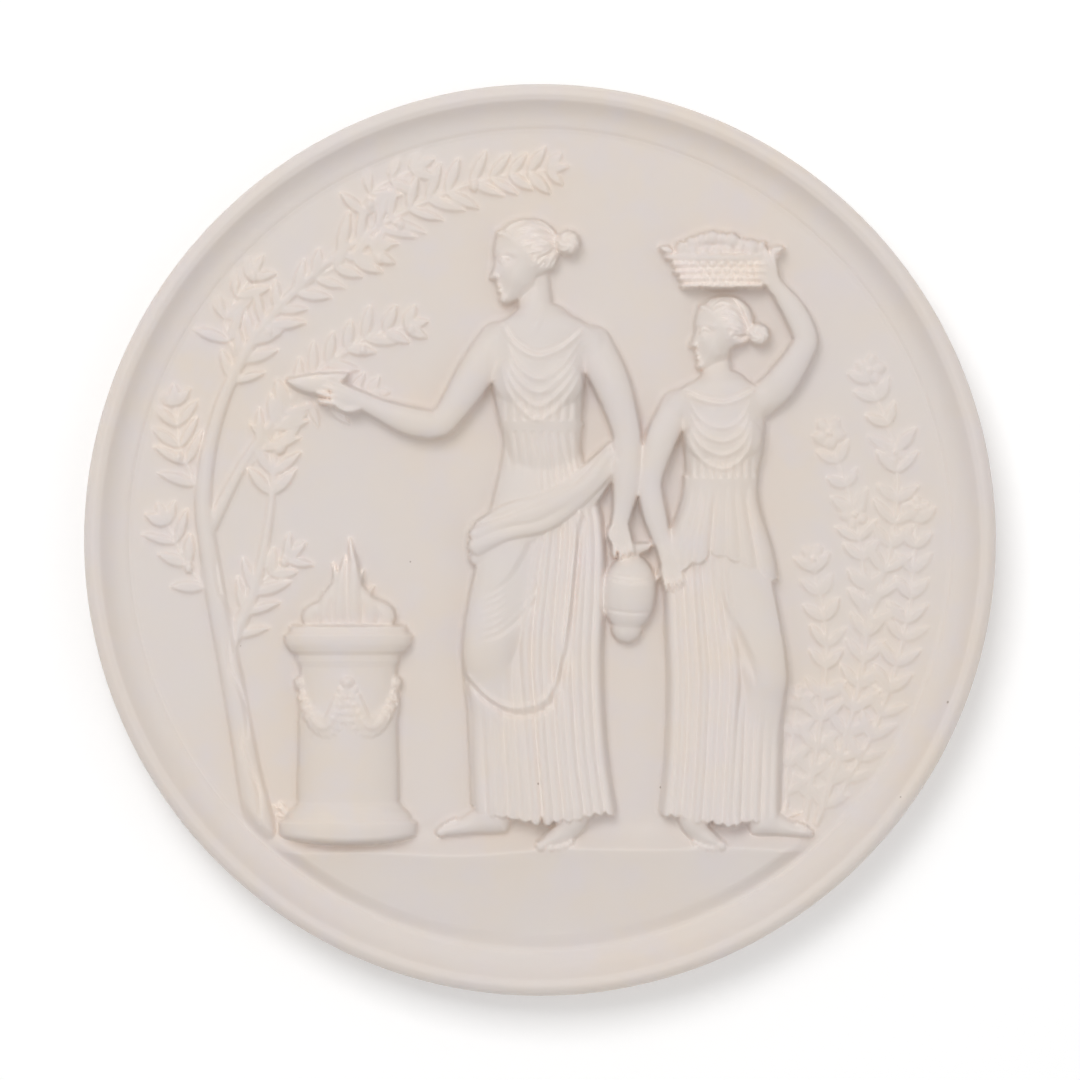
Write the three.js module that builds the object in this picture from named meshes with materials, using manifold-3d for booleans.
// A round bisque porcelain plaque, made to hang on a wall: a moulded rim, a dished field with a figure
// relief, a ledge under the figures, and a foot ring on the back with two holes for a hanging cord.
// Millimetres, +Z up. The front faces -Y, the wall is the plane y = 0, and the origin lies on the foot
// ring's flat face, straight above the plaque's centre.
import * as THREE from 'three';
import { mergeVertices } from 'three/addons/utils/BufferGeometryUtils.js';
import Module from 'manifold-3d';

// plaque body
const OUTER_RADIUS = 72.5;
const WIDEST_DEPTH = 8.5;          // distance from the wall to the widest line of the edge
const LIP_RADIUS = 71.0;
const LIP_DEPTH = 11.2;            // the rim's highest line, from the wall
const LIP_INNER_RADIUS = 69.9;
const LIP_INNER_DROP = 0.25;       // the lip's inner line lies this much under its highest
const LIP_SHOULDER = [0.35, 0.9];  // the lip's shoulder: in from the widest line, under the highest
const EDGE_EASE = [0.3, 1.0];      // the back edge's last bend: in from and behind the widest line
const FIELD_RADIUS = 65.5;
const FIELD_DEPTH = 8.0;           // field surface at its edge, from the wall
const FIELD_DISH = 0.4;            // how much deeper the field lies at its centre
const STEP_HEIGHT = 0.35;          // fine step between the hollow moulding and the field
const STEP_SLANT = 0.1;
const COVE_SAG = 0.9;              // hollow of the moulding between lip and step
const BACK_DEPTH = 4.0;            // back floor, from the wall
const BACK_EDGE_RADIUS = 71.2;
const BACK_EDGE_DEPTH = 6.4;
const FOOT_INNER_RADIUS = 56.0;
const FOOT_OUTER_RADIUS = 60.0;
const FOOT_FLARE = 0.6;            // the foot ring is this much wider where it leaves the back
const ROUND_STEPS = 56;
const LIP_STEPS = 2;
const COVE_STEPS = 3;
const CORE_DROP = 1.5;             // the turned core stays this far under the carved field
const CARVED_RADIUS = 66.0;        // the carved disc runs a little under the rim moulding
const CARVED_BACK = 5.2;           // back of the carved disc, inside the body

// hanging holes
const HOLE_RADIUS = 1.1;
const HOLE_ANGLE = 12;             // degrees to each side of the top
const HOLE_SIDES = 12;
const HOLE_REACH = 8;

// relief
const GRID_STEP = 0.4;
const GRID_HALF = 66.5;
const NET_POINTS = 1390;           // points that the carved surface may use
const LEAF_HEIGHT = 0.95;          // ridge of a leaf above the field
const CLOTH_ROWS = 6;
const SHEET_BACK = 5.8;            // cloths and folds are rooted here, from the wall
const CREST_DROP = 0.012;          // a fold's crest hangs this much lower at the hem, as a share of the height
const RIDGE_SINK = 0.3;            // a fold's edge lies this far under the cloth
const RIDGE_FALL = 0.9;            // and at most this far below the fold's middle
const PETALS = 5;
const PETAL_NOTCH = 0.5;           // radius between two petals, as a share of the flower's
const LEAF_SINK = 0.1;             // a leaf's edge lies this far under the field
const LEDGE_HEIGHT = -46.0;        // ground line under the figures, from the plaque's centre
const LEDGE_RISE = 2.3;
const LEDGE_SLOPE = 4.6;
const RIM_FADE = 3.0;
const SOFTNESS = 0.30;             // rounding of the carving, as the mould and the slip give it
const TALL_WOMAN = 98;
const SECOND_WOMAN = 86;
const ALTAR_HEIGHT = 33;
const BASKET_WIDTH = 17.2;

const EMPTY = -60;
const RING_RADIUS = (FOOT_INNER_RADIUS + FOOT_OUTER_RADIUS) / 2;
const CENTRE_Z = -RING_RADIUS;     // the plaque's centre, below the origin

const clamp = (v, lo, hi) => Math.min(hi, Math.max(lo, v));
const smooth = (t) => t * t * (3 - 2 * t);

/** Even, repeatable scatter. */
class Dice {
  constructor(seed) { this.state = seed >>> 0; }
  roll() {
    this.state = (Math.imul(this.state, 1664525) + 1013904223) >>> 0;
    return this.state / 4294967296;
  }
}

/** A smooth curve through rows of numbers, as closely spaced rows. */
function spline(knots, steps = 8, closed = false) {
  if (knots.length < 3 && !closed) {
    const [a, b] = knots;
    return Array.from({ length: steps + 1 }, (_, i) => a.map((v, k) => v + (b[k] - v) * i / steps));
  }
  const last = knots.length - 1;
  const mirror = (a, b) => a.map((v, k) => 2 * v - b[k]);
  const ext = closed
    ? [knots[last], ...knots, knots[0], knots[1]]
    : [mirror(knots[0], knots[1]), ...knots, mirror(knots[last], knots[last - 1])];
  const rows = [];
  for (let i = 0; i + 3 < ext.length; i++) {
    const [a, b, c, d] = ext.slice(i, i + 4);
    for (let s = 0; s < steps; s++) {
      const t = s / steps;
      rows.push(a.map((_, k) => 0.5 * (2 * b[k] + (c[k] - a[k]) * t
        + (2 * a[k] - 5 * b[k] + 4 * c[k] - d[k]) * t * t
        + (3 * b[k] - a[k] - 3 * c[k] + d[k]) * t * t * t)));
    }
  }
  if (!closed) rows.push([...knots[last]]);
  return rows;
}

function blended(base, added, blend) {
  const top = Math.max(base, added);
  const gap = blend - Math.abs(base - added);
  return gap > 0 ? top + gap * gap / (4 * blend) : top;
}

/** Carved height above the field on an even grid, with its tools. */
class Clay {
  constructor(fill = EMPTY) {
    this.count = Math.round(2 * GRID_HALF / GRID_STEP) + 1;
    this.h = new Float64Array(this.count ** 2).fill(fill);
    this.ridges = [];
    this.cloths = [];
  }

  at(i) { return i * GRID_STEP - GRID_HALF; }

  each(x0, x1, z0, z1, visit) {
    const low = (v) => Math.max(0, Math.floor((v + GRID_HALF) / GRID_STEP));
    const high = (v) => Math.min(this.count - 1, Math.ceil((v + GRID_HALF) / GRID_STEP));
    for (let j = low(z0); j <= high(z1); j++) {
      for (let i = low(x0); i <= high(x1); i++) visit(this.at(i), this.at(j), j * this.count + i);
    }
  }

  /** Visits each grid point near a run of rows (x, z, reach, value) with its distance from the run. */
  along(rows, visit) {
    for (let k = 1; k < rows.length; k++) {
      const [a, b] = [rows[k - 1], rows[k]];
      const m = Math.max(a[2], b[2]);
      const [dx, dz] = [b[0] - a[0], b[1] - a[1]];
      const square = dx * dx + dz * dz + 1e-12;
      this.each(Math.min(a[0], b[0]) - m, Math.max(a[0], b[0]) + m, Math.min(a[1], b[1]) - m,
        Math.max(a[1], b[1]) + m, (x, z, n) => {
          const t = clamp(((x - a[0]) * dx + (z - a[1]) * dz) / square, 0, 1);
          const off = Math.hypot(x - a[0] - t * dx, z - a[1] - t * dz);
          visit(n, off, a[2] + t * (b[2] - a[2]), a[3] + t * (b[3] - a[3]));
        });
    }
  }

  /** A round limb or stem: knots (x, z, radius, lift). */
  sweep(knots, blend = 0, flat = 1, steps = 8) {
    const found = new Map();
    this.along(spline(knots, steps), (n, off, radius, lift) => {
      if (off >= radius) return;
      const h = lift + flat * Math.sqrt(radius * radius - off * off);
      if (h > (found.get(n) ?? EMPTY)) found.set(n, h);
    });
    for (const [n, h] of found) this.h[n] = blended(this.h[n], h, blend);
  }

  /** A soft groove: knots (x, z, half width, depth). */
  groove(knots, steps = 8) {
    const found = new Map();
    this.along(spline(knots, steps), (n, off, half, depth) => {
      if (off >= half) return;
      const cut = depth * smooth(1 - off / half);
      if (cut > (found.get(n) ?? 0)) found.set(n, cut);
    });
    for (const [n, cut] of found) this.h[n] -= cut;
  }

  level(x, z) {
    const [i, j] = [x, z].map((v) => clamp(Math.round((v + GRID_HALF) / GRID_STEP), 0, this.count - 1));
    return this.h[j * this.count + i];
  }

  /** A sharp fold on what is carved: rows (x, z, half width, rise), kept as corners for a solid. */
  ridge(rows) {
    this.ridges.push(rows.map(([x, z, half, rise], k) => {
      const [a, b] = [rows[Math.max(k - 1, 0)], rows[Math.min(k + 1, rows.length - 1)]];
      const run = Math.hypot(b[0] - a[0], b[1] - a[1]);
      const top = this.level(x, z);
      const edge = (side) => {
        const [ex, ez] = [x - side * half * (b[1] - a[1]) / run, z + side * half * (b[0] - a[0]) / run];
        return [ex, ez, Math.max(this.level(ex, ez), top - RIDGE_FALL) - RIDGE_SINK];
      };
      return [edge(-1), edge(1), [x, z, top + rise]];
    }));
  }

  /** An ellipsoid cap. */
  ball(x, z, radius, lift, blend = 0, flat = 1, tall = 1, turn = 0) {
    const m = radius * Math.max(1, tall);
    const [c, s] = [Math.cos(turn), Math.sin(turn)];
    this.each(x - m, x + m, z - m, z + m, (px, pz, n) => {
      const u = c * (px - x) + s * (pz - z);
      const v = (-s * (px - x) + c * (pz - z)) / tall;
      const inside = radius * radius - u * u - v * v;
      if (inside > 0) this.h[n] = blended(this.h[n], lift + flat * Math.sqrt(inside), blend);
    });
  }

  /** Adds a soft swelling to what is carved there already. */
  bump(x, z, radius, rise, tall = 1, turn = 0) {
    const m = radius * Math.max(1, tall);
    const [c, s] = [Math.cos(turn), Math.sin(turn)];
    this.each(x - m, x + m, z - m, z + m, (px, pz, n) => {
      const u = (c * (px - x) + s * (pz - z)) / radius;
      const v = (-s * (px - x) + c * (pz - z)) / (radius * tall);
      const k = 1 - u * u - v * v;
      if (k > 0 && this.h[n] > EMPTY + 1) this.h[n] += rise * k * k;
    });
  }

  /** A closed outline raised with rounded edges. */
  pillow(knots, lift, rise, bevel, steps = 5) {
    const rows = spline(knots, steps, true);
    const xs = rows.map((r) => r[0]);
    const zs = rows.map((r) => r[1]);
    this.each(Math.min(...xs), Math.max(...xs), Math.min(...zs), Math.max(...zs), (x, z, n) => {
      let near = Infinity;
      let odd = false;
      for (let k = 0; k < rows.length; k++) {
        const a = rows[k];
        const b = rows[(k + 1) % rows.length];
        const [dx, dz] = [b[0] - a[0], b[1] - a[1]];
        const t = clamp(((x - a[0]) * dx + (z - a[1]) * dz) / (dx * dx + dz * dz + 1e-12), 0, 1);
        near = Math.min(near, Math.hypot(x - a[0] - t * dx, z - a[1] - t * dz));
        if ((a[1] > z) !== (b[1] > z) && x < dx * (z - a[1]) / dz + a[0]) odd = !odd;
      }
      if (!odd) return;
      const c = 1 - Math.min(near / bevel, 1);
      this.h[n] = Math.max(this.h[n], lift + rise * Math.sqrt(1 - c * c));
    });
  }

  merge(other, blend = 0) {
    this.h.forEach((v, n) => { this.h[n] = blended(v, other.h[n], blend); });
    this.ridges.push(...other.ridges);
    this.cloths.push(...other.cloths);
  }

  /** Evens the heights out over a small reach, as slip does. */
  soften(reach) {
    const cells = Math.ceil(3 * reach / GRID_STEP);
    const weights = [];
    for (let i = -cells; i <= cells; i++) weights.push(Math.exp(-0.5 * (i * GRID_STEP / reach) ** 2));
    const sum = weights.reduce((a, b) => a + b, 0);
    for (const stride of [1, this.count]) {
      const from = this.h.slice();
      for (let n = 0; n < from.length; n++) {
        const along = stride === 1 ? n % this.count : Math.floor(n / this.count);
        let total = 0;
        for (let i = -cells; i <= cells; i++) {
          const k = clamp(along + i, 0, this.count - 1) - along;
          total += weights[i + cells] * from[n + k * stride];
        }
        this.h[n] = total / sum;
      }
    }
  }
}

/** Shares of a size, turned, mirrored and lifted, as millimetres in the relief. */
class Place {
  constructor(clay, x, z, size, turn = 0, side = 1, lift = 0) {
    Object.assign(this, { clay, x, z, size, turn, side, lift, c: Math.cos(turn), s: Math.sin(turn) });
  }

  spot(u, v) {
    return [this.x + this.side * this.size * (this.c * u - this.s * v),
      this.z + this.size * (this.s * u + this.c * v)];
  }

  sweep(rows, blend = 0, flat = 1, steps = 7) {
    this.clay.sweep(rows.map((r) => [...this.spot(r[0], r[1]), this.size * r[2], this.lift + r[3]]),
      blend, flat, steps);
  }

  cut(rows, steps = 6) {
    this.clay.groove(rows.map((r) => [...this.spot(r[0], r[1]), this.size * r[2], r[3]]), steps);
  }

  ridge(rows) {
    this.clay.ridge(rows.map((r) => [...this.spot(r[0], r[1]), this.size * r[2], r[3]]));
  }

  ball(u, v, radius, up, blend = 0, flat = 1, tall = 1, turn = 0) {
    this.clay.ball(...this.spot(u, v), this.size * radius, this.lift + up, blend, flat, tall,
      this.side * (turn + this.turn));
  }

  bump(u, v, radius, rise, tall = 1, turn = 0) {
    this.clay.bump(...this.spot(u, v), this.size * radius, rise, tall, this.side * (turn + this.turn));
  }

  pillow(rows, up, rise, bevel) {
    this.clay.pillow(rows.map((r) => this.spot(...r)), this.lift + up, rise, this.size * bevel);
  }

  /** A pleated cloth between two edges (rows v, u), kept as rows of corners for a solid. */
  cloth(left, right, top, hem, up, rise, folds, rows = CLOTH_ROWS) {
    const edge = (knots) => spline(knots, 10).sort((a, b) => a[0] - b[0]);
    const [lefts, rights] = [edge(left), edge(right)];
    const follow = (line, v) => {
      let k = 1;
      while (k < line.length - 1 && line[k][0] < v) k++;
      const t = clamp((v - line[k - 1][0]) / (line[k][0] - line[k - 1][0]), 0, 1);
      return line[k - 1][1] + t * (line[k][1] - line[k - 1][1]);
    };
    const crests = [...folds].sort((a, b) => a.centre - b.centre);
    const columns = [{ u: 0 }, { u: 0.4 * crests[0].centre }];
    crests.forEach((fold, k) => {
      if (k > 0) columns.push({ u: (fold.centre + crests[k - 1].centre) / 2 });
      columns.push({ u: fold.centre, fold });
    });
    columns.push({ u: 1 - 0.4 * (1 - columns[columns.length - 1].u) }, { u: 1 });
    const grid = Array.from({ length: rows + 1 }, (_, k) => columns.map(({ u, fold }) => {
      const low = hem(u) - (fold ? CREST_DROP : 0);
      const v = top + (low - top) * k / rows;
      const [a, b] = [follow(lefts, v), follow(rights, v)];
      const grow = fold ? clamp((fold.start - v) / (fold.start - fold.full), 0, 1) : 0;
      const h = this.lift + up + rise * Math.sqrt(1 - (2 * u - 1) ** 2) + (fold ? fold.height * grow * (2 - grow) : 0);
      return [...this.spot(a + u * (b - a), v), h];
    }));
    this.clay.cloths.push(this.side < 0 ? grid.map((row) => row.reverse()) : grid);
  }
}

/** A row of folds across a cloth, between the shares u0 and u1 of its width. */
function pleats(u0, u1, count, start, full, height, dice, jitter = 0.18) {
  const gap = (u1 - u0) / count;
  return Array.from({ length: count }, (_, i) => ({
    centre: u0 + gap * (i + 0.5) + gap * jitter * (dice.roll() - 0.5),
    start: start + (start - full) * 0.25 * (dice.roll() - 0.5),
    full,
    height: height * (0.75 + 0.4 * dice.roll()),
  }));
}

/** A head in profile, facing left; its size is chin to crown. */
function head(place, bun) {
  place.pillow([[-0.30, 0.40], [-0.365, 0.33], [-0.405, 0.20], [-0.413, 0.10], [-0.398, 0.03],
    [-0.432, -0.05], [-0.480, -0.145], [-0.474, -0.175], [-0.415, -0.195], [-0.418, -0.235],
    [-0.440, -0.268], [-0.428, -0.295], [-0.408, -0.305], [-0.430, -0.322], [-0.430, -0.352],
    [-0.398, -0.382], [-0.405, -0.425], [-0.398, -0.465], [-0.345, -0.502], [-0.26, -0.490],
    [-0.10, -0.43], [0.02, -0.36], [0.10, -0.20], [0.30, -0.12], [0.40, 0.10], [0.36, 0.33],
    [0.20, 0.48], [0, 0.52], [-0.18, 0.49]], 0, 1.55, 0.30);
  place.bump(-0.19, -0.13, 0.22, 0.42, 1.1);
  place.bump(-0.10, -0.24, 0.24, 0.30);
  place.bump(-0.37, -0.43, 0.085, 0.38);
  place.bump(0.08, 0.14, 0.40, 0.75);
  place.cut([[-0.36, 0.03, 0.06, 0.30], [-0.27, 0.035, 0.075, 0.42], [-0.17, 0.02, 0.05, 0.20]]);
  place.ball(-0.285, 0.02, 0.05, 0.86, 0.15, 1, 0.75);
  place.cut([[-0.44, -0.305, 0.02, 0.28], [-0.39, -0.303, 0.02, 0.36], [-0.335, -0.303, 0.02, 0.2]]);
  for (let i = 0; i < 11; i++) {
    const t = i / 10;
    place.ball(-0.345 + 0.375 * t ** 0.9, 0.375 - 0.37 * t ** 1.35, 0.052,
      0.80 + 0.45 * Math.min(1, 1.6 * t), 0.06, 0.85);
  }
  for (let i = 0; i < 5; i++) {
    const t = i / 4;
    place.cut([[-0.26 + 0.30 * t, 0.40 - 0.36 * t, 0.03, 0.1],
      [0.06 + 0.14 * t, 0.36 - 0.26 * t, 0.035, 0.4], [bun[0] - 0.12, bun[1] + 0.06 - 0.10 * t, 0.03, 0.2]]);
  }
  place.ball(bun[0], bun[1], 0.155, 0.35, 0.2, 0.8);
}

/** A hand with four fingers and a thumb; its size is wrist to fingertip. */
function hand(clay, x, z, size, angle, lift, side, spread, curl, thumb) {
  const place = new Place(clay, x, z, size, angle, 1, lift);
  place.sweep([[-0.08, 0, 0.17, -0.1], [0.20, 0, 0.20, 0], [0.42, 0, 0.22, 0]], 0.3, 0.5);
  [[-0.17, 0.42], [-0.057, 0.50], [0.057, 0.48], [0.165, 0.39]].forEach(([row, length], i) => {
    const v = row * side;
    const a = spread * (i - 1.5) * 0.5 * side;
    const bent = length * (1 - 0.45 * curl);
    place.sweep([[0.38, v, 0.07, 0.18],
      [0.42 + 0.5 * length * Math.cos(a), v + 0.5 * length * Math.sin(a), 0.068, 0.34 + 0.3 * curl],
      [0.44 + bent * Math.cos(a), v + length * Math.sin(a), 0.054, 0.12 - 0.1 * curl]], 0.05, 0.9);
  });
  place.sweep([[0.08, side * thumb * 0.13, 0.085, 0.1], [0.27, side * thumb * 0.27, 0.075, 0.34],
    [0.48, side * thumb * (0.27 - 0.1 * curl), 0.058, 0.38]], 0.08, 0.9);
}

/** Stems with leaves in pairs: the stems are carved, the leaves are listed for the solids. */
function branch(clay, leaves, rows, length, width, gap, dice, spread = 0.75) {
  clay.sweep(rows, 0.3, 0.8, 8);
  const run = spline(rows, 12);
  const far = [0];
  for (let k = 1; k < run.length; k++) {
    far.push(far[k - 1] + Math.hypot(run[k][0] - run[k - 1][0], run[k][1] - run[k - 1][1]));
  }
  const total = far[far.length - 1];
  const count = Math.floor(total / gap);
  for (let i = 1; i <= count; i++) {
    const s = total * i / count;
    const k = clamp(far.findIndex((d) => d >= s - 1e-9) - 1, 0, run.length - 2);
    const [x, z] = run[k];
    const heading = Math.atan2(run[k + 1][1] - z, run[k + 1][0] - x);
    const size = length * (1 - 0.3 * (s / total) ** 2) * (0.85 + 0.3 * dice.roll());
    for (const sign of i < count ? [1, -1] : [1, -1, 0]) {
      const wide = width * (0.85 + 0.3 * dice.roll());
      const turn = heading + sign * spread * (0.8 + 0.4 * dice.roll());
      leaves.push({ x, z, length: size, width: wide, turn, height: LEAF_HEIGHT * (0.85 + 0.3 * dice.roll()) });
    }
  }
}

/** An olive at the left: its trunk and boughs follow the rim. */
function tree(relief, leaves) {
  const dice = new Dice(3);
  const clay = new Clay();
  clay.sweep([[-44.5, -46, 2.6, 0.1], [-46.5, -36, 2.0, 0.3], [-49, -22, 1.8, 0.3], [-52, -6, 1.6, 0.3],
    [-53.5, 8, 1.4, 0.3], [-50.5, 22, 1.1, 0.3], [-44, 34, 0.9, 0.3], [-34, 44, 0.7, 0.2],
    [-22, 52, 0.5, 0.2], [-10, 57, 0.3, 0.2]], 0.5, 0.75, 12);
  clay.sweep([[-50, -18, 1.4, 0.2], [-45.5, -8, 1.0, 0.2], [-43, 4, 0.7, 0.2], [-42, 16, 0.5, 0.1]], 0.5, 0.75);
  clay.sweep([[-52.5, 2, 1.2, 0.2], [-46, 14, 0.8, 0.2], [-37, 25, 0.6, 0.2], [-28, 32, 0.4, 0.1]], 0.5, 0.75);
  const boughs = [
    [[-43, 4, 0.4, 0.2], [-42, 16, 0.4, 0.2], [-39.5, 22, 0.3, 0.2]],
    [[-46, 12, 0.4, 0.2], [-37, 25, 0.4, 0.2], [-28, 32, 0.3, 0.2], [-21, 34, 0.2, 0.2]],
    [[-50.5, 22, 0.4, 0.2], [-44, 34, 0.4, 0.2], [-35, 42, 0.3, 0.2], [-26, 46, 0.2, 0.2]],
    [[-34, 44, 0.4, 0.2], [-22, 52, 0.4, 0.2], [-10, 57, 0.3, 0.2], [2, 59, 0.2, 0.2]],
    [[-53, 6, 0.4, 0.2], [-57, 14, 0.3, 0.2], [-58, 22, 0.2, 0.2]],
    [[-50, -18, 0.4, 0.2], [-45, -8, 0.3, 0.2], [-40, -3, 0.2, 0.2]],
    [[-51, -10, 0.4, 0.2], [-56, -4, 0.3, 0.2], [-59.5, 3, 0.2, 0.2]],
    [[-48, 28, 0.4, 0.2], [-50, 35, 0.3, 0.2], [-46, 42, 0.2, 0.2]],
    [[-28, 48, 0.4, 0.2], [-27, 55, 0.3, 0.2], [-20, 59, 0.2, 0.2]],
    [[-40, 24, 0.4, 0.2], [-33, 22, 0.3, 0.2], [-27, 23, 0.2, 0.2]],
  ];
  for (const bough of boughs) branch(clay, leaves, bough, 8.2, 1.55, 9.6, dice);
  relief.merge(clay);
}

/** Low flowering stems at the right. */
function shrub(relief, leaves, blooms) {
  const dice = new Dice(5);
  const clay = new Clay();
  const stems = [
    [[44, -45, 0.7, 0], [49, -30, 0.6, 0.1], [52, -14, 0.45, 0.1], [50, 4, 0.3, 0.1], [46, 16, 0.2, 0.1]],
    [[42, -45, 0.6, 0], [44.5, -30, 0.5, 0.1], [45.5, -16, 0.4, 0.1], [43.5, -4, 0.2, 0.1]],
    [[47, -42, 0.5, 0], [54, -28, 0.45, 0.1], [58.5, -12, 0.35, 0.1], [60, 4, 0.2, 0.1]],
    [[51.5, -16, 0.4, 0.1], [56, 0, 0.35, 0.1], [56.5, 14, 0.3, 0.1], [52, 26, 0.2, 0.1]],
    [[39, -45, 0.5, 0], [39.5, -36, 0.4, 0.1], [41, -26, 0.2, 0.1]],
  ];
  for (const stem of stems) branch(clay, leaves, stem, 7.8, 1.7, 11.5, dice);
  const heads = [[46, 17, 2.8], [52.5, 27, 2.6], [60, 5, 2.2], [43.5, -3, 2.5], [41, -25, 2.2]];
  for (const [x, z, radius] of heads) {
    blooms.push({ x, z, radius, turn: 2 * Math.PI * dice.roll() });
  }
  relief.merge(clay);
}

/** The ledge that the figures stand on, and the bare segment under it. */
function ground(relief) {
  relief.each(-GRID_HALF, GRID_HALF, -GRID_HALF, LEDGE_HEIGHT + 3, (x, z, n) => {
    const top = LEDGE_HEIGHT + 1.1 + 0.5 * Math.sin(x / 13) + 0.25 * Math.sin(x / 4.7 + 1);
    const ramp = LEDGE_RISE * smooth(clamp((top - z) / LEDGE_SLOPE, 0, 1));
    const below = clamp((top - LEDGE_SLOPE - z) / 13, 0, 1);
    if (z < top) relief.h[n] = Math.max(relief.h[n], ramp * (1 - 0.62 * below ** 0.8));
  });
}

/** A round altar with mouldings, a garland and a flame. */
function altar(relief, x, z, tall) {
  const clay = new Clay();
  const radius = tall * 0.26;
  const profile = [[0, 1.28], [0.055, 1.28], [0.065, 1.18], [0.10, 1.12], [0.13, 1.0], [0.15, 0.95],
    [0.80, 0.90], [0.83, 0.96], [0.86, 0.96], [0.875, 1.08], [0.91, 1.18], [0.955, 1.20], [0.965, 1.10],
    [1.0, 1.08]];
  const swell = (r, off) => 0.9 + 0.42 * Math.sqrt(Math.max(r * r - off * off, 0));
  clay.each(x - 1.4 * radius, x + 1.4 * radius, z, z + tall, (px, pz, n) => {
    const v = clamp((pz - z) / tall, 0, 1);
    const k = Math.max(1, profile.findIndex((row) => row[0] >= v));
    const [a, b] = [profile[k - 1], profile[k]];
    const r = radius * (a[1] + (b[1] - a[1]) * clamp((v - a[0]) / (b[0] - a[0]), 0, 1));
    if (Math.abs(px - x) < r) clay.h[n] = swell(r, px - x);
  });
  const hook = z + 0.72 * tall;
  for (const sign of [-1, 1]) {
    const swag = [0, 0.25, 0.5, 0.75, 1].map((t) => [x + sign * radius * 0.9 * t,
      hook - 0.20 * tall * Math.sin(Math.PI * t), 0.7 + 0.8 * Math.sin(Math.PI * t),
      swell(0.9 * radius, 0.9 * radius * t)]);
    clay.sweep(swag, 0.1, 0.7);
  }
  for (const share of [-0.88, 0, 0.88]) {
    clay.ball(x + share * radius, hook + 0.2, 1.1, swell(0.9 * radius, share * radius) + 0.2, 0.1, 0.9);
  }
  const top = z + tall;
  const tongues = [[-0.60, 0.17, -0.9], [0.62, 0.19, 0.9], [-0.36, 0.30, -0.6], [0.36, 0.27, 0.7],
    [-0.12, 0.36, 0.5], [0.12, 0.42, -0.5]];
  tongues.forEach(([off, high, lean], i) => {
    clay.sweep([[x + off * radius, top - 0.6, 1.25, 1.3 + 0.1 * i],
      [x + off * radius * 1.1 + 0.3 * lean, top + high * tall * 0.30, 1.35, 1.7 + 0.1 * i],
      [x + off * radius * 0.7 - 0.5 * lean, top + high * tall * 0.68, 0.75, 1.7 + 0.1 * i],
      [x + off * radius * 0.6 + 0.9 * lean, top + high * tall, 0.12, 1.2]], 0.25, 0.8, 10);
  });
  relief.merge(clay);
}

/** A foot in profile and one turned to the front. */
function feet(place) {
  place.pillow([[-0.058, 0.080], [-0.052, 0.040], [-0.055, 0.014], [-0.066, 0.004], [-0.11, 0.003],
    [-0.158, -0.001], [-0.172, 0.006], [-0.168, 0.016], [-0.146, 0.024], [-0.122, 0.036],
    [-0.102, 0.056], [-0.098, 0.080]], 1.1, 1.5, 0.018);
  place.pillow([[0.076, 0.085], [0.078, 0.040], [0.068, 0.012], [0.052, -0.004], [0.030, -0.015],
    [0.004, -0.020], [-0.010, -0.014], [0.004, 0.004], [0.022, 0.024], [0.032, 0.050],
    [0.034, 0.085]], 1.4, 1.6, 0.019);
  for (const [u, v, r] of [[-0.166, 0.0065, 0.0085], [-0.004, -0.0155, 0.0100], [0.0125, -0.0195, 0.0070],
    [0.0245, -0.0190, 0.0066], [0.0355, -0.0155, 0.0062], [0.0455, -0.0100, 0.0058]]) {
    place.ball(u, v, r, 2.0, 0.25, 0.9);
  }
}

/** Waist to shoulders, with the gown's neckline and its curved folds. */
function bodice(clay, place, neck, waist, foldTop, foldGap) {
  const trunk = new Clay();
  const own = new Place(trunk, place.x, place.z, place.size, 0, place.side);
  own.sweep([[0, waist, 0.062, 1.5], [-0.006, 0.70, 0.070, 1.7], [-0.008, 0.76, 0.076, 1.6],
    [-0.004, 0.80, 0.066, 1.5]], 0, 0.5, 16);
  own.sweep([[-0.076, 0.803, 0.030, 1.9], [-0.03, 0.818, 0.030, 2.2], [0.03, 0.815, 0.031, 2.2],
    [0.080, 0.796, 0.033, 1.9]], 1.2, 0.7, 12);
  own.ball(-0.045, 0.737, 0.036, 2.7, 1.8, 0.6);
  own.ball(0.027, 0.735, 0.037, 2.8, 1.8, 0.6);
  clay.merge(trunk, 0.6);
  place.ridge(neck.map(([u, v]) => [u, v, 0.009, 0.5]));
  for (let i = 0; i < 2; i++) {
    const drop = foldGap * 1.6 * (i + 1);
    place.ridge([[-0.064 - 0.002 * i, 0.815 - 0.01 * i, 0.005, 0.1],
      [-0.041 - 0.004 * i, foldTop + 0.01 - drop * 0.8, 0.009, 0.4], [-0.006, foldTop - 0.008 - drop, 0.009, 0.45],
      [0.032 + 0.004 * i, foldTop + 0.008 - drop * 0.8, 0.009, 0.4], [0.062 + 0.003 * i, 0.808 - 0.01 * i, 0.005, 0.1]]);
  }
}

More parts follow.
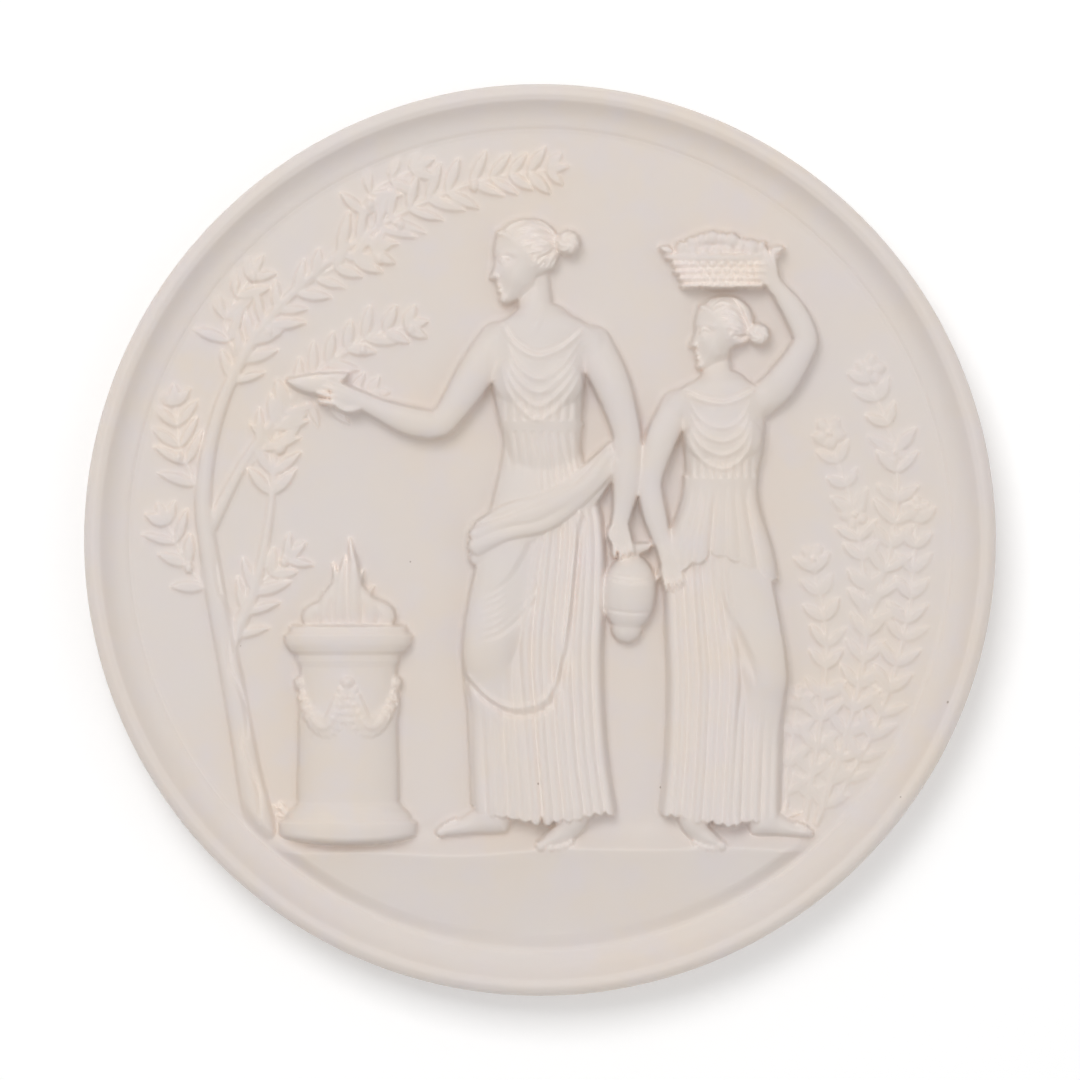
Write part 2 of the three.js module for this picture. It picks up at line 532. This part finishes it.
/** The tall woman: she holds a dish over the altar and a jug at her side. */
function offeringWoman(relief, x, tall) {
  const dice = new Dice(7);
  const clay = new Clay();
  const z = LEDGE_HEIGHT - 1;
  const place = new Place(clay, x, z, tall);
  feet(place);
  place.cloth(
    [[0.03, -0.122], [0.055, -0.118], [0.20, -0.124], [0.30, -0.132], [0.40, -0.118], [0.52, -0.088],
      [0.63, -0.066], [0.72, -0.072]],
    [[0.03, 0.122], [0.05, 0.118], [0.15, 0.104], [0.28, 0.098], [0.40, 0.102], [0.51, 0.098],
      [0.63, 0.062], [0.72, 0.062]],
    0.70, (u) => 0.035 + 0.009 * Math.cos(6 * u + 0.4) - 0.006 * u, 1.1, 2.4,
    [...pleats(0.42, 0.985, 8, 0.66, 0.42, 0.95, dice), ...pleats(0.02, 0.42, 5, 0.27, 0.08, 0.8, dice, 0.3)]);
  place.sweep([[-0.022, 0.54, 0.070, 0.9], [-0.055, 0.42, 0.062, 1.6], [-0.088, 0.31, 0.043, 2.7],
    [-0.088, 0.26, 0.036, 2.3], [-0.080, 0.17, 0.030, 1.3], [-0.078, 0.09, 0.022, 0.8]], 0, 0.52, 14);
  for (const t of [0.15, 0.75]) {
    place.ridge([[0.034 + 0.010 * t, 0.50 - 0.10 * t, 0.006, 0.1], [-0.004 - 0.010 * t, 0.430 - 0.085 * t, 0.011, 0.55],
      [-0.055 - 0.012 * t, 0.385 - 0.065 * t, 0.010, 0.45], [-0.104 - 0.002 * t, 0.375 - 0.07 * t, 0.006, 0.1]]);
  }
  const edge = [[-0.126, 0.262], [-0.092, 0.226], [-0.048, 0.205], [0.004, 0.218], [0.028, 0.275],
    [0.042, 0.36], [0.052, 0.45], [0.060, 0.52]];
  place.ridge(edge.map(([u, v]) => [u, v, 0.010, 0.7]));
  bodice(clay, place, [[-0.062, 0.822], [-0.045, 0.795], [-0.010, 0.776], [0.030, 0.790], [0.060, 0.815]],
    0.64, 0.770, 0.022);
  place.sweep([[-0.062, 0.670, 0.010, 1.5], [-0.03, 0.662, 0.011, 3.3], [0.02, 0.660, 0.011, 3.4],
    [0.056, 0.667, 0.010, 1.6]], 0.1, 0.8, 10);
  const roll = [[-0.106, 0.478], [-0.058, 0.500], [0, 0.520], [0.060, 0.560], [0.110, 0.610]];
  [[-0.026, 0.015, 2.4], [-0.010, 0.017, 3.3], [0.008, 0.016, 3.5], [0.024, 0.013, 2.9]]
    .forEach(([off, radius, up], k) => place.sweep(roll.map(([u, v], j) => [
      u + 0.004 * Math.sin(3 * k + 9 * j), v + off + 0.003 * Math.sin(5 * j + k),
      radius * (0.8 + 0.2 * Math.sin(1 + j * 2.1 + k)), up + [0.2, 1.5, 1.3, 0.2, -0.6][j]]), 0.1, 0.62, 9));
  place.sweep([[0.080, 0.795, 0.033, 0.9], [0.110, 0.735, 0.031, 2.2], [0.132, 0.668, 0.0245, 2.5],
    [0.137, 0.630, 0.0240, 2.5], [0.136, 0.580, 0.0235, 2.6], [0.128, 0.525, 0.0165, 2.6],
    [0.124, 0.505, 0.0150, 2.6]], 1.5, 0.65, 12);
  const jug = new Place(clay, x + 0.140 * tall, z + 0.395 * tall, tall * 0.13, -0.08, 1, 1.2);
  jug.sweep([[0, -0.44, 0.20, 0], [0, -0.40, 0.14, 0]], 0, 0.7);
  jug.sweep([[0, -0.38, 0.13, 0], [0, -0.18, 0.30, 0.3], [0, 0.08, 0.33, 0.4], [0, 0.24, 0.24, 0.3],
    [0, 0.36, 0.11, 0.3], [0, 0.50, 0.10, 0.4]], 0.1, 0.7, 10);
  jug.sweep([[-0.18, 0.60, 0.07, 0.6], [0, 0.54, 0.08, 1.0], [0.16, 0.58, 0.06, 0.7]], 0.1, 0.8);
  jug.sweep([[0.15, 0.56, 0.035, 0.6], [0.30, 0.66, 0.04, 0.7], [0.40, 0.42, 0.04, 0.6],
    [0.30, 0.14, 0.035, 0.4]], 0.05, 0.9);
  hand(clay, x + 0.124 * tall, z + 0.510 * tall, 7.6, -1.45, 3.0, 1, 0.1, 0.8, -1);
  place.sweep([[-0.074, 0.802, 0.032, 0.9], [-0.108, 0.752, 0.031, 2.3], [-0.148, 0.690, 0.0245, 2.6],
    [-0.172, 0.668, 0.0235, 2.7], [-0.215, 0.672, 0.0240, 2.8], [-0.262, 0.690, 0.0175, 2.8],
    [-0.288, 0.702, 0.0145, 2.8]], 1.5, 0.65, 12);
  hand(clay, x - 0.290 * tall, z + 0.703 * tall, 8.4, 2.86, 2.9, -1, 0.15, 0.25, -1);
  const dish = new Place(clay, x - 0.365 * tall, z + 0.733 * tall, tall * 0.10, 0.10, 1, 2.2);
  dish.pillow([[-0.48, 0.10], [-0.36, -0.06], [-0.12, -0.16], [0.12, -0.16], [0.36, -0.06], [0.48, 0.10],
    [0, 0.13]], 0, 1.2, 0.12);
  dish.sweep([[-0.49, 0.105, 0.028, 0.4], [0, 0.135, 0.028, 0.9], [0.49, 0.105, 0.028, 0.4]], 0.05, 0.9);
  place.sweep([[-0.004, 0.800, 0.036, 1.6], [-0.010, 0.845, 0.029, 1.9], [-0.014, 0.90, 0.028, 1.7]], 0.9, 0.75);
  head(new Place(clay, x - tall * 0.024, z + tall * 0.932, tall * 0.133, 0.10, 1, 2.0), [0.50, 0.17]);
  relief.merge(clay);
}

/** The second woman: she carries a basket of fruit on her head. */
function basketWoman(relief, x, tall) {
  const dice = new Dice(9);
  const clay = new Clay();
  const z = LEDGE_HEIGHT - 1.2;
  const place = new Place(clay, x, z, tall, 0, -1);
  feet(place);
  place.cloth(
    [[0.03, -0.118], [0.055, -0.114], [0.20, -0.118], [0.30, -0.126], [0.40, -0.112], [0.52, -0.088],
      [0.63, -0.066], [0.72, -0.072]],
    [[0.03, 0.116], [0.05, 0.112], [0.15, 0.102], [0.28, 0.098], [0.40, 0.102], [0.51, 0.100],
      [0.63, 0.064], [0.72, 0.064]],
    0.66, (u) => 0.036 + 0.010 * Math.cos(5.6 * u + 0.8) - 0.004 * u, 1.0, 2.2,
    [...pleats(0.40, 0.985, 7, 0.66, 0.42, 0.95, dice), ...pleats(0.02, 0.40, 5, 0.27, 0.08, 0.8, dice, 0.3)]);
  place.sweep([[-0.022, 0.54, 0.070, 0.9], [-0.055, 0.42, 0.062, 1.5], [-0.084, 0.31, 0.043, 2.5],
    [-0.084, 0.26, 0.036, 2.1], [-0.078, 0.17, 0.030, 1.2], [-0.076, 0.09, 0.022, 0.8]], 0, 0.52, 14);
  for (const t of [0.15, 0.75]) {
    place.ridge([[0.020 + 0.012 * t, 0.49 - 0.05 * t, 0.006, 0.1], [-0.006 - 0.013 * t, 0.430 - 0.05 * t, 0.010, 0.5],
      [-0.048 - 0.010 * t, 0.355 - 0.045 * t, 0.010, 0.4], [-0.074 + 0.006 * t, 0.305 - 0.04 * t, 0.006, 0.1]]);
  }
  place.cloth(
    [[0.44, -0.112], [0.52, -0.102], [0.63, -0.072], [0.72, -0.078]],
    [[0.42, 0.116], [0.52, 0.108], [0.63, 0.070], [0.72, 0.070]],
    0.67, (u) => 0.520 - 0.055 * Math.abs(2 * u - 1) ** 1.6, 1.9, 2.2,
    pleats(0.03, 0.97, 7, 0.655, 0.56, 0.7, dice, 0.3), 3);
  bodice(clay, place, [[-0.062, 0.822], [-0.030, 0.806], [-0.004, 0.800], [0.030, 0.806], [0.060, 0.818]],
    0.65, 0.785, 0.022);
  place.sweep([[-0.062, 0.660, 0.010, 1.5], [-0.03, 0.654, 0.011, 3.3], [0.02, 0.652, 0.011, 3.4],
    [0.058, 0.659, 0.010, 1.6]], 0.1, 0.8, 10);
  place.sweep([[0.078, 0.797, 0.031, 0.9], [0.108, 0.735, 0.030, 2.2], [0.126, 0.672, 0.0240, 2.5],
    [0.128, 0.640, 0.0235, 2.5], [0.118, 0.590, 0.0225, 2.7], [0.104, 0.540, 0.0160, 2.8],
    [0.100, 0.522, 0.0150, 2.9]], 1.5, 0.65, 12);
  hand(clay, x - 0.099 * tall, z + 0.525 * tall, 7.2, -1.30, 3.3, 1, 0.15, 0.5, 1);
  place.sweep([[-0.072, 0.801, 0.032, 0.9], [-0.112, 0.838, 0.031, 2.0], [-0.150, 0.895, 0.0250, 2.3],
    [-0.158, 0.925, 0.0235, 2.3], [-0.138, 0.970, 0.0225, 2.3], [-0.110, 1.010, 0.0160, 2.3],
    [-0.100, 1.025, 0.0145, 2.3]], 1.5, 0.65, 12);
  hand(clay, x + 0.100 * tall, z + 1.020 * tall, 7.0, 1.9, 2.5, 1, 0.15, 0.4, 1);
  place.sweep([[-0.004, 0.800, 0.036, 1.6], [0.002, 0.845, 0.029, 1.9], [0.006, 0.90, 0.028, 1.7]], 0.9, 0.75);
  head(new Place(clay, x + tall * 0.010, z + tall * 0.930, tall * 0.135, 0.02, 1, 2.0), [0.46, -0.02]);
  basket(clay, x + 0.004 * tall, z + tall * 1.012, BASKET_WIDTH);
  relief.merge(clay);
}

/** A wide basket with fruit and leaves over its rim. */
function basket(clay, x, z, wide) {
  const place = new Place(clay, x, z, wide, 0, 1, 1.6);
  clay.each(x - wide, x + wide, z - 1, z + 0.30 * wide, (px, pz, n) => {
    const v = (pz - z) / wide;
    const half = 0.33 + 0.58 * clamp(v, 0, 1);
    const u = (px - x) / wide / half;
    if (Math.abs(u) >= 1 || v < 0.04 * u * u) return;
    clay.h[n] = Math.max(clay.h[n], 1.6 + 2.2 * Math.sqrt(1 - u * u));
  });
  for (let i = 0; i < 3; i++) {
    const v = 0.08 + 0.08 * i;
    const half = 0.33 + 0.58 * v;
    place.cut([[-half, v, 0.02, 0.3], [0, v - 0.02, 0.02, 0.3], [half, v, 0.02, 0.3]]);
  }
  place.sweep([[-0.50, 0.30, 0.035, 0.5], [-0.2, 0.285, 0.04, 2.0], [0.2, 0.285, 0.04, 2.0],
    [0.50, 0.30, 0.035, 0.5]], 0.05, 0.9);
  for (let i = 0; i < 9; i++) {
    const a = (i + 0.5) / 9;
    place.ball(-0.43 + 0.86 * a, 0.40 + 0.10 * Math.sin(Math.PI * a) + 0.03 * Math.sin(7 * i),
      0.075 + 0.02 * Math.sin(3 * i), 0.5 + Math.sin(Math.PI * a), 0.05, 0.9);
  }
}

/** The whole relief but its leaves, as heights above the field. */
function carve(leaves, blooms) {
  const relief = new Clay(0);
  tree(relief, leaves);
  shrub(relief, leaves, blooms);
  ground(relief);
  altar(relief, -30.5, LEDGE_HEIGHT - 0.6, ALTAR_HEIGHT);
  basketWoman(relief, 28.5, SECOND_WOMAN);
  offeringWoman(relief, 0.5, TALL_WOMAN);
  relief.soften(SOFTNESS);
  relief.each(-GRID_HALF, GRID_HALF, -GRID_HALF, GRID_HALF, (x, z, n) => {
    relief.h[n] *= smooth(clamp((FIELD_RADIUS - Math.hypot(x, z)) / RIM_FADE, 0, 1));
  });
  return relief;
}

/** A triangle net over the grid, refined where it strays most from the heights. */
class Net {
  constructor(heights, count, points) {
    Object.assign(this, { heights, count, px: [], pz: [], corners: [], twins: [], worst: [], error: [], fresh: [] });
    const far = count - 1;
    const [a, b, c, d] = [[0, 0], [far, 0], [0, far], [far, far]].map(([i, j]) => this.point(i, j));
    const first = this.triangle(d, a, c, -1, -1, -1);
    this.triangle(a, d, b, first, -1, -1);
    this.measure();
    while (this.px.length < points) this.refine();
  }

  point(i, j) { return this.px.push(i) && this.pz.push(j) - 1; }

  triangle(a, b, c, ab, bc, ca, e = this.corners.length) {
    [a, b, c].forEach((p, k) => { this.corners[e + k] = p; });
    [ab, bc, ca].forEach((h, k) => {
      this.twins[e + k] = h;
      if (h >= 0) this.twins[h] = e + k;
    });
    this.fresh.push(e / 3);
    return e;
  }

  height(p) { return this.heights[this.pz[p] * this.count + this.px[p]]; }

  turn(ax, az, bx, bz, cx, cz) { return (bx - cx) * (az - cz) - (bz - cz) * (ax - cx); }

  /** Sums each new triangle's error and finds where it is largest. */
  measure() {
    for (const t of new Set(this.fresh)) {
      const [a, b, c] = this.corners.slice(3 * t, 3 * t + 3);
      const [ax, az, bx, bz, cx, cz] = [this.px[a], this.pz[a], this.px[b], this.pz[b], this.px[c], this.pz[c]];
      const area = this.turn(ax, az, bx, bz, cx, cz);
      const [ha, hb, hc] = [this.height(a), this.height(b), this.height(c)];
      let peak = 0;
      this.error[t] = 0;
      for (let j = Math.min(az, bz, cz); j <= Math.max(az, bz, cz); j++) {
        for (let i = Math.min(ax, bx, cx); i <= Math.max(ax, bx, cx); i++) {
          const u = this.turn(bx, bz, cx, cz, i, j) / area;
          const v = this.turn(cx, cz, ax, az, i, j) / area;
          if (u < 0 || v < 0 || u + v > 1) continue;
          const miss = Math.abs(u * ha + v * hb + (1 - u - v) * hc - this.heights[j * this.count + i]);
          this.error[t] += miss;
          if (miss > peak) {
            peak = miss;
            this.worst[t] = [i, j];
          }
        }
      }
    }
    this.fresh = [];
  }

  refine() {
    let t = 0;
    this.error.forEach((v, k) => { if (v > this.error[t]) t = k; });
    const [px, pz] = this.worst[t];
    const e = 3 * t;
    const [a, b, c] = this.corners.slice(e, e + 3);
    const flat = [[a, b], [b, c], [c, a]].findIndex(([p, q]) => this.turn(this.px[p], this.pz[p],
      this.px[q], this.pz[q], px, pz) === 0);
    const n = this.point(px, pz);
    if (flat >= 0) {
      this.splitEdge(n, e + flat);
    } else {
      const [h0, h1, h2] = this.twins.slice(e, e + 3);
      const t0 = this.triangle(a, b, n, h0, -1, -1, e);
      const t1 = this.triangle(b, c, n, h1, -1, t0 + 1);
      const t2 = this.triangle(c, a, n, h2, t0 + 2, t1 + 1);
      [t0, t1, t2].forEach((k) => this.mend(k));
    }
    this.measure();
  }

  around(e) {
    const base = e - e % 3;
    return [base, base + (e + 1) % 3, base + (e + 2) % 3];
  }

  splitEdge(n, e) {
    const [base, left, right] = this.around(e);
    const [p0, pr, pl] = [this.corners[right], this.corners[e], this.corners[left]];
    const [hl, hr, twin] = [this.twins[left], this.twins[right], this.twins[e]];
    if (twin < 0) {
      const t0 = this.triangle(n, p0, pr, -1, hr, -1, base);
      const t1 = this.triangle(p0, n, pl, t0, -1, hl);
      this.mend(t0 + 1);
      this.mend(t1 + 2);
      return;
    }
    const [twinBase, twinRight, twinLeft] = this.around(twin);
    const p1 = this.corners[twinLeft];
    const [bl, br] = [this.twins[twinLeft], this.twins[twinRight]];
    const t0 = this.triangle(p0, pr, n, hr, -1, -1, base);
    const t1 = this.triangle(pr, p1, n, br, -1, t0 + 1, twinBase);
    const t2 = this.triangle(p1, pl, n, bl, -1, t1 + 1);
    const t3 = this.triangle(pl, p0, n, hl, t0 + 2, t2 + 1);
    [t0, t1, t2, t3].forEach((k) => this.mend(k));
  }

  /** Turns the edge over if its two triangles would be rounder that way. */
  mend(e) {
    const twin = this.twins[e];
    if (twin < 0) return;
    const [base, left, right] = this.around(e);
    const [twinBase, twinRight, twinLeft] = this.around(twin);
    const [p0, pr, pl, p1] = [this.corners[right], this.corners[e], this.corners[left], this.corners[twinLeft]];
    const [ax, az, bx, bz, cx, cz] = [p0, pr, pl].flatMap((p) => [this.px[p] - this.px[p1], this.pz[p] - this.pz[p1]]);
    const [aa, bb, cc] = [ax * ax + az * az, bx * bx + bz * bz, cx * cx + cz * cz];
    if (ax * (bz * cc - bb * cz) - az * (bx * cc - bb * cx) + aa * (bx * cz - bz * cx) >= 0) return;
    const [hl, hr, bl, br] = [left, right, twinLeft, twinRight].map((k) => this.twins[k]);
    const t0 = this.triangle(p0, p1, pl, -1, bl, hl, base);
    const t1 = this.triangle(p1, p0, pr, t0, hr, br, twinBase);
    this.mend(t0 + 1);
    this.mend(t1 + 2);
  }
}

/** Depth of the dished field's surface at a radius, from the wall. */
const fieldDepth = (r) => FIELD_DEPTH - FIELD_DISH * (1 - Math.min(r / FIELD_RADIUS, 1) ** 2);

const wasm = await Module();
wasm.setup();

/** A closed geometry as a solid. */
function solid(geometry) {
  geometry.deleteAttribute('normal');
  geometry.deleteAttribute('uv');
  const merged = mergeVertices(geometry, 1e-5);
  return new wasm.Manifold(new wasm.Mesh({
    numProp: 3,
    vertProperties: new Float32Array(merged.attributes.position.array),
    triVerts: new Uint32Array(merged.index.array),
  }));
}

/** A turned solid: profile rows (radius, depth from the wall), round the plaque's own axis. */
function turned(profile, segments = ROUND_STEPS) {
  const points = [...profile, profile[0]].map(([r, depth]) => new THREE.Vector2(r, depth));
  const geometry = new THREE.LatheGeometry(points, segments);
  geometry.scale(1, -1, 1);
  geometry.index.array.reverse();
  geometry.translate(0, 0, CENTRE_Z);
  return solid(geometry);
}

/** The plaque's moulded body without its relief. */
function body() {
  const profile = [[0, BACK_DEPTH], [FOOT_INNER_RADIUS - FOOT_FLARE, BACK_DEPTH], [FOOT_INNER_RADIUS, 0],
    [FOOT_OUTER_RADIUS, 0], [FOOT_OUTER_RADIUS + FOOT_FLARE, BACK_DEPTH], [BACK_EDGE_RADIUS, BACK_EDGE_DEPTH],
    [OUTER_RADIUS - EDGE_EASE[0], WIDEST_DEPTH - EDGE_EASE[1]], [OUTER_RADIUS, WIDEST_DEPTH]];
  const lip = new THREE.CatmullRomCurve3([[OUTER_RADIUS, WIDEST_DEPTH],
    [OUTER_RADIUS - LIP_SHOULDER[0], LIP_DEPTH - LIP_SHOULDER[1]],
    [LIP_RADIUS, LIP_DEPTH], [LIP_INNER_RADIUS, LIP_DEPTH - LIP_INNER_DROP]].map(([r, d]) => new THREE.Vector3(r, d, 0)));
  for (const p of lip.getPoints(LIP_STEPS).slice(1)) profile.push([p.x, p.y]);
  const [startDepth, endDepth] = [LIP_DEPTH - LIP_INNER_DROP, FIELD_DEPTH + STEP_HEIGHT];
  for (let i = 1; i <= COVE_STEPS; i++) {
    const t = i / COVE_STEPS;
    profile.push([LIP_INNER_RADIUS + (FIELD_RADIUS - LIP_INNER_RADIUS) * t,
      startDepth + (endDepth - startDepth) * t - COVE_SAG * Math.sin(Math.PI * t) * (1 - 0.3 * t)]);
  }
  profile.push([FIELD_RADIUS - STEP_SLANT, fieldDepth(FIELD_RADIUS) - CORE_DROP], [0, fieldDepth(FIELD_RADIUS) - CORE_DROP]);
  return turned(profile);
}

/** The carved disc: the net as its front, a flat back inside the body. */
function carvedDisc() {
  const leaves = [];
  const blooms = [];
  const relief = carve(leaves, blooms);
  const net = new Net(relief.h, relief.count, NET_POINTS);
  const corner = (p, back) => {
    const [x, z] = [relief.at(net.px[p]), relief.at(net.pz[p])];
    const depth = back ? CARVED_BACK : fieldDepth(Math.hypot(x, z)) + net.height(p);
    return [x, -depth, z + CENTRE_Z];
  };
  const positions = [];
  for (let e = 0; e < net.corners.length; e += 3) {
    const [a, b, c] = net.corners.slice(e, e + 3);
    positions.push(...corner(a, false), ...corner(c, false), ...corner(b, false));
    positions.push(...corner(a, true), ...corner(b, true), ...corner(c, true));
    [[a, b], [b, c], [c, a]].forEach(([p, q], k) => {
      if (net.twins[e + k] >= 0) return;
      positions.push(...corner(p, false), ...corner(q, true), ...corner(p, true));
      positions.push(...corner(p, false), ...corner(q, false), ...corner(q, true));
    });
  }
  const geometry = new THREE.BufferGeometry();
  geometry.setAttribute('position', new THREE.Float32BufferAttribute(positions, 3));
  const round = turned([[0, CARVED_BACK - 1], [CARVED_RADIUS, CARVED_BACK - 1],
    [CARVED_RADIUS, FIELD_DEPTH + 12], [0, FIELD_DEPTH + 12]]);
  const clear = leaves.filter((leaf) => !covered(relief, leaf));
  return wasm.Manifold.union([solid(geometry), ...clear.map(leafSolid), ...blooms.map(bloomSolid),
    ...relief.ridges.map(ridgeSolid),
    ...relief.cloths.map(clothSolid)]).intersect(round);
}

/** Whether a leaf lies wholly behind what is carved in front of it. */
function covered(relief, leaf) {
  return [0.1, 0.5, 0.9].every((share) => {
    const [i, j] = [leaf.x + share * leaf.length * Math.cos(leaf.turn), leaf.z + share * leaf.length * Math.sin(leaf.turn)]
      .map((v) => Math.round((v + GRID_HALF) / GRID_STEP));
    return relief.h[j * relief.count + i] > 1.5 * LEAF_HEIGHT;
  });
}

/** A pointed leaf with a mid ridge, its edge just under the field. */
function leafSolid({ x, z, length, width, turn, height }) {
  const [c, s] = [Math.cos(turn), Math.sin(turn)];
  const depth = fieldDepth(Math.hypot(x, z));
  const corners = [[0, 0], [0.45, 1], [1, 0], [0.45, -1]].map(([u, v]) => [u, v, -LEAF_SINK]);
  corners.push([0.4, 0, height], [0.45, 0, -1]);
  const rows = corners.map(([u, v, h]) => [x + c * u * length - s * v * width, -(depth + h),
    z + s * u * length + c * v * width + CENTRE_Z]);
  const faces = [0, 1, 2, 3].flatMap((k) => [[(k + 1) % 4, k, 4], [k, (k + 1) % 4, 5]]);
  return solidOf(faces, rows);
}

/** A flower seen from above: petal tips round a raised middle. */
function bloomSolid({ x, z, radius, turn }) {
  const depth = fieldDepth(Math.hypot(x, z));
  const rim = Array.from({ length: 2 * PETALS }, (_, k) => {
    const a = turn + k * Math.PI / PETALS;
    const r = k % 2 ? PETAL_NOTCH * radius : radius;
    return [x + r * Math.cos(a), -(depth - LEAF_SINK), z + r * Math.sin(a) + CENTRE_Z];
  });
  const [front, back] = [2 * PETALS, 2 * PETALS + 1];
  const rows = [...rim, [x, -(depth + LEAF_HEIGHT), z + CENTRE_Z], [x, -(depth - 1), z + CENTRE_Z]];
  const faces = rim.flatMap((_, k) => {
    const next = (k + 1) % (2 * PETALS);
    return [[k, next, front], [next, k, back]];
  });
  return solidOf(faces, rows);
}

/** A fold from its rows of corners (x, z, height above the field): two edges and a crest, rooted in the body. */
function ridgeSolid(stations) {
  const corners = stations.flatMap((row) => {
    const [left, right, crest] = row.map(([x, z, h]) => [x, -(fieldDepth(Math.hypot(x, z)) + h), z + CENTRE_Z]);
    return [left, [left[0], -SHEET_BACK, left[2]], [right[0], -SHEET_BACK, right[2]], right, crest];
  });
  const faces = [[0, 4, 3], [0, 3, 2], [0, 2, 1]];
  for (let k = 0; k + 1 < stations.length; k++) {
    for (const [a, b] of [[0, 1], [1, 2], [2, 3], [3, 4], [4, 0]]) {
      faces.push([5 * k + a, 5 * k + b, 5 * k + 5 + b], [5 * k + a, 5 * k + 5 + b, 5 * k + 5 + a]);
    }
  }
  const last = corners.length - 5;
  faces.push([last, last + 3, last + 4], [last, last + 2, last + 3], [last, last + 1, last + 2]);
  return solidOf(faces, corners);
}

/** A pleated sheet from its rows of corners (x, z, height above the field), rooted in the body. */
function clothSolid(grid) {
  const [down, across] = [grid.length, grid[0].length];
  const front = grid.flat().map(([x, z, h]) => [x, -(fieldDepth(Math.hypot(x, z)) + h), z + CENTRE_Z]);
  const rows = [...front, ...front.map(([x, , z]) => [x, -SHEET_BACK, z])];
  const back = front.length;
  const faces = [];
  const quad = (a, b, c, d) => faces.push([a, b, c], [a, c, d]);
  for (let k = 0; k + 1 < down; k++) {
    for (let i = 0; i + 1 < across; i++) {
      const [a, b, c, d] = [k * across + i, (k + 1) * across + i, (k + 1) * across + i + 1, k * across + i + 1];
      quad(a, b, c, d);
      quad(back + a, back + d, back + c, back + b);
    }
    const [l, r] = [k * across, k * across + across - 1];
    quad(l, back + l, back + l + across, l + across);
    quad(r, r + across, back + r + across, back + r);
  }
  for (let i = 0; i + 1 < across; i++) {
    const low = (down - 1) * across + i;
    quad(i, i + 1, back + i + 1, back + i);
    quad(low, back + low, back + low + 1, low + 1);
  }
  return solidOf(faces, rows);
}

function solidOf(faces, rows) {
  const geometry = new THREE.BufferGeometry();
  geometry.setAttribute('position', new THREE.Float32BufferAttribute(faces.flat().flatMap((k) => rows[k]), 3));
  return solid(geometry);
}

/** A rod through the foot ring, on a line from the plaque's centre. */
function hangingHole(angle) {
  const geometry = new THREE.CylinderGeometry(HOLE_RADIUS, HOLE_RADIUS, HOLE_REACH, HOLE_SIDES);
  geometry.rotateX(Math.PI / 2);
  geometry.translate(0, -BACK_DEPTH / 2, RING_RADIUS);
  geometry.rotateY(THREE.MathUtils.degToRad(angle));
  geometry.translate(0, 0, CENTRE_Z);
  return solid(geometry);
}

const piece = body().add(carvedDisc()).subtract(hangingHole(HOLE_ANGLE)).subtract(hangingHole(-HOLE_ANGLE));
const mesh = piece.getMesh();
const geometry = new THREE.BufferGeometry();
geometry.setAttribute('position', new THREE.BufferAttribute(new Float32Array(mesh.vertProperties), 3));
geometry.setIndex(new THREE.BufferAttribute(new Uint32Array(mesh.triVerts), 1));
geometry.computeVertexNormals();

const bisque = new THREE.MeshStandardMaterial({ name: 'bisque', color: 0xe2d5ce, roughness: 0.8, metalness: 0 });
const plaque = new THREE.Mesh(geometry, bisque);
plaque.name = 'plaque';

const root = new THREE.Group();
root.add(plaque);

export default root;
